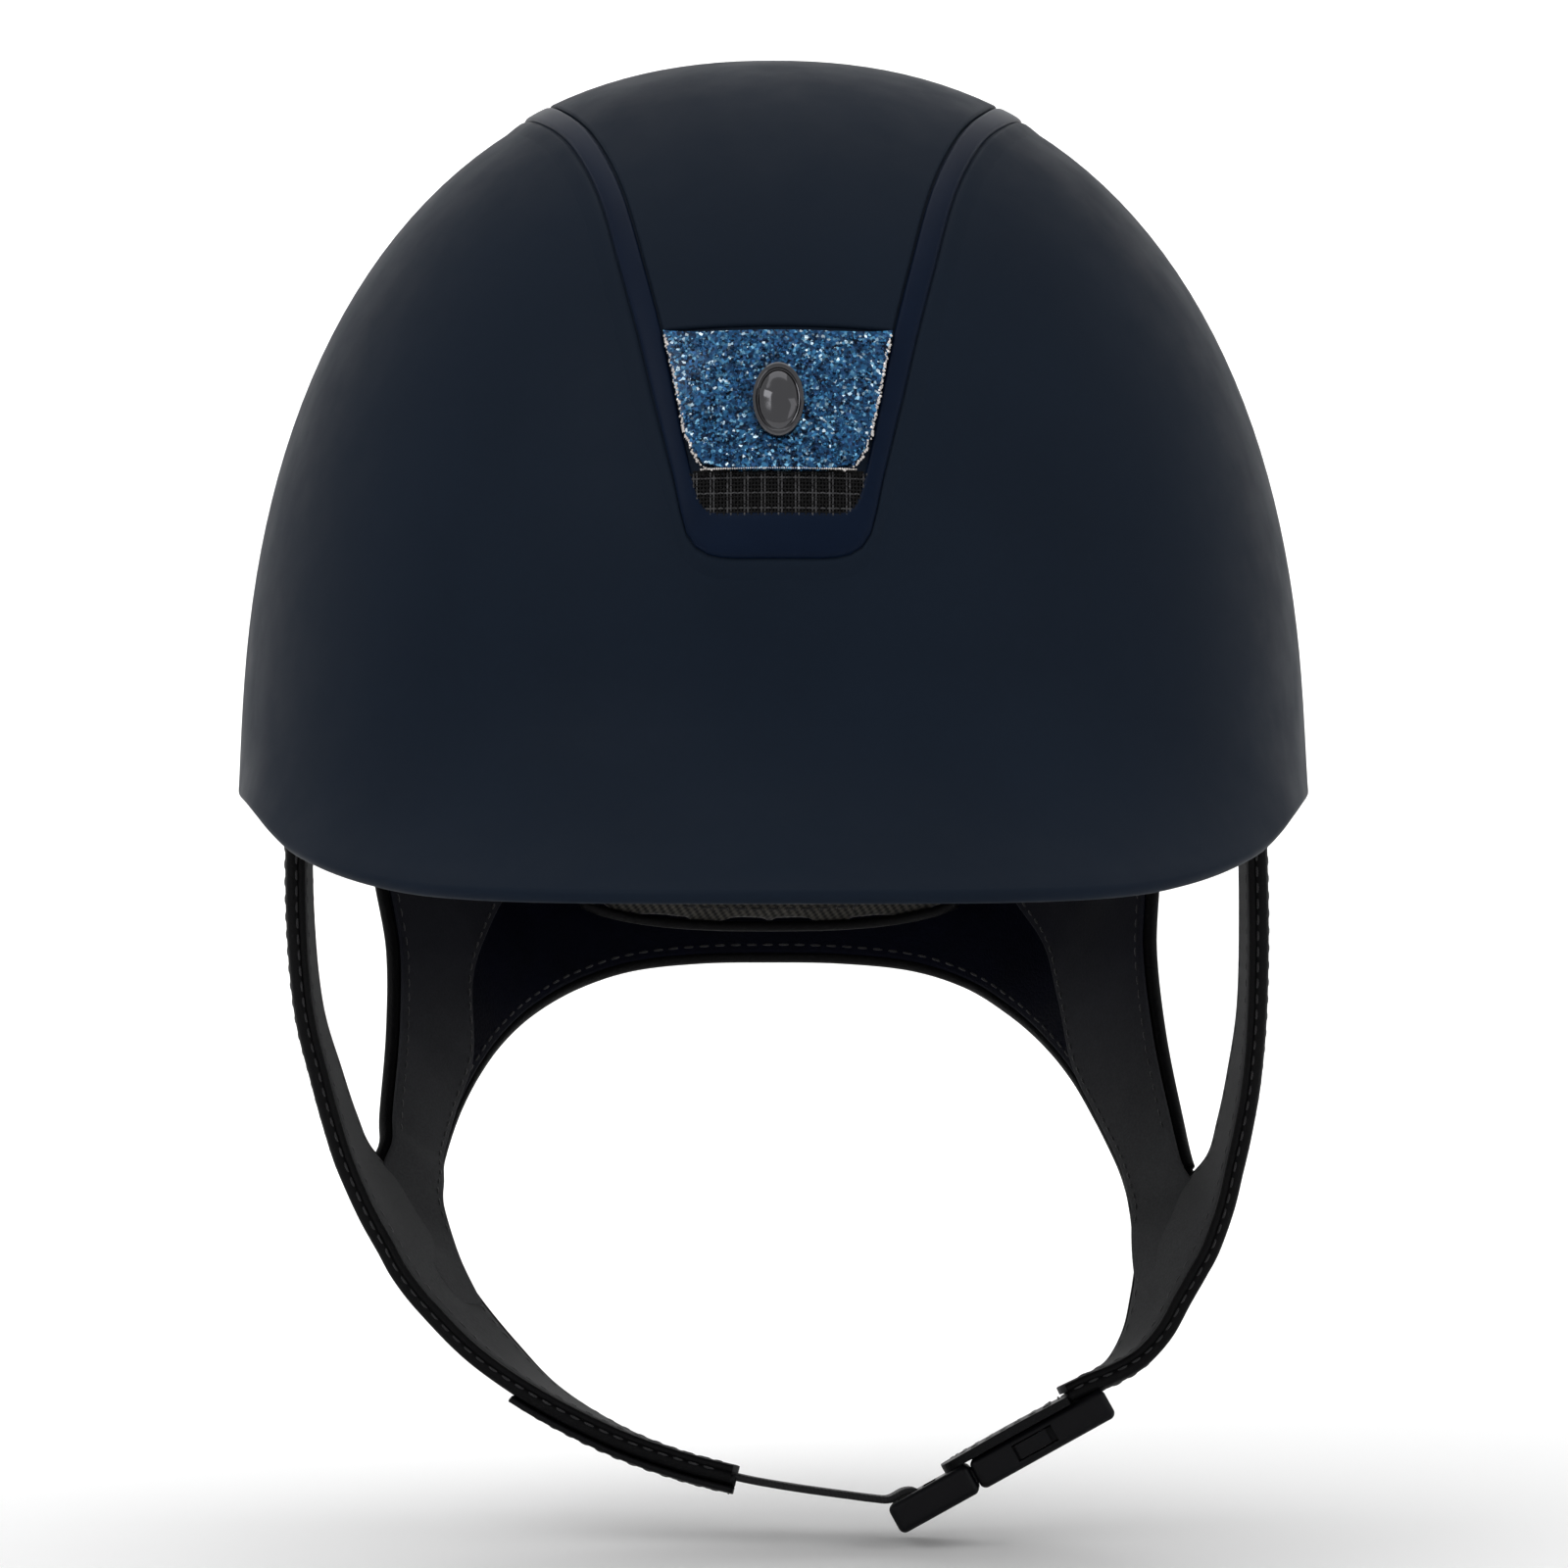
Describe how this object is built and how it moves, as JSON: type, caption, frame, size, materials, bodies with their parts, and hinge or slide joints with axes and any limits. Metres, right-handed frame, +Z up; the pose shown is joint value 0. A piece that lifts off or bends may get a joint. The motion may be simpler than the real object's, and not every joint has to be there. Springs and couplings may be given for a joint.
{
  "type": "equestrian riding helmet",
  "caption": "Hard-shelled riding helmet with a short peak, a raised top panel, a foam liner with soft pads, and a leather harness with a clip under the chin.",
  "frame": {"origin": "middle of the head opening: on the centre line, level with the side rim of the shell, at its widest section", "axes": "-Y is the front (peak), +X the wearer's left, +Z up out of the crown"},
  "size_m": [0.2144, 0.2896, 0.2981],
  "materials": {
    "shell_paint": "matt navy paint with a very fine grain",
    "rail_satin": "satin darker navy",
    "crystal_fabric": "glitter of small blue crystals",
    "polished_metal": "polished dark chrome",
    "steel": "plain",
    "black_wire": "woven black and grey wire",
    "foam": "moulded black bead foam",
    "pad_textile": "ribbed black twill over soft foam",
    "black_rubber": "matt",
    "peak_cloth": "smooth black cloth",
    "harness_leather": "fine-grained black leather with edge binding",
    "harness_lining": "grey microfibre",
    "webbing_black": "black woven webbing",
    "buckle_plastic": "black moulded plastic"
  },
  "bodies": {
    "helmet": {"badge": "polished_metal", "badge_pin": "steel", "brow_pad": "pad_textile", "foam_liner": "foam", "front_cap": "rail_satin", "front_strap_left": "harness_leather", "front_strap_left_lining": "harness_lining", "front_strap_right": "harness_leather", "front_strap_right_lining": "harness_lining", "frontal_band": "crystal_fabric", "inlet_mesh": "black_wire", "junction_left": "harness_leather", "junction_left_lining": "harness_lining", "junction_right": "harness_leather", "junction_right_lining": "harness_lining", "nape_pad": "pad_textile", "nape_yoke": "harness_leather", "nape_yoke_lining": "harness_lining", "outer_shell": "shell_paint", "outlet_grille": "black_wire", "peak_lining": "peak_cloth", "rail_left": "rail_satin", "rail_right": "rail_satin", "rear_cap": "rail_satin", "rim_binding": "black_rubber", "side_pad_left": "pad_textile", "side_pad_right": "pad_textile", "strap_anchor_left": "steel", "strap_anchor_right": "steel", "top_panel": "shell_paint"},
    "clip": {"clip_base": "buckle_plastic"},
    "front_prong": {"prong_front": "buckle_plastic"},
    "rear_prong": {"prong_rear": "buckle_plastic"},
    "guard": {"chin_guard": "harness_leather"},
    "crown_cushion": {"crown_pad": "pad_textile"},
    "chin_loop": {"lower_strap_right": "harness_leather", "lower_strap_right_lining": "harness_lining", "lower_strap_left": "harness_leather", "lower_strap_left_lining": "harness_lining", "adjusting_sleeve": "harness_leather", "chin_webbing": "webbing_black", "clip_socket": "buckle_plastic", "socket_loop": "webbing_black"}
  },
  "joints": [
    {"name": "chin_swing", "type": "hinge", "parent": "helmet", "child": "chin_loop", "pos_m": [0, 0, -0.05], "axis": [1, 0, 0], "range_deg": [-20, 10]},
    {"name": "clip_release", "type": "slide", "parent": "chin_loop", "child": "clip", "axis": [-0.8746, 0, -0.4848], "range_m": [0, 0.024], "deforming": ["prong_front", "prong_rear"]},
    {"name": "squeeze_front", "type": "hinge", "parent": "clip", "child": "front_prong", "pos_m": [0.038, -0.00835, -0.137], "axis": [-0.4822, 0.1045, 0.8698], "range_deg": [0, 6], "stiffness_Nm_per_rad": 0.5},
    {"name": "squeeze_rear", "type": "hinge", "parent": "clip", "child": "rear_prong", "pos_m": [0.03885, 0.00835, -0.13853], "axis": [-0.4822, 0.1045, 0.8698], "range_deg": [-6, 0], "stiffness_Nm_per_rad": 0.5},
    {"name": "guard_lift", "type": "hinge", "parent": "chin_loop", "child": "guard", "pos_m": [0.05992, 0.00046, -0.12085], "axis": [0.0507, 0.9945, -0.0914], "range_deg": [0, 45], "stiffness_Nm_per_rad": 0.004},
    {"name": "crown_pad_pull", "type": "slide", "parent": "helmet", "child": "crown_cushion", "axis": [0, 0, -1], "range_m": [0, 0.09]}
  ],
  "couplings": [
    {"joint": "squeeze_rear", "follows": "squeeze_front", "ratio": -1}
  ]
}
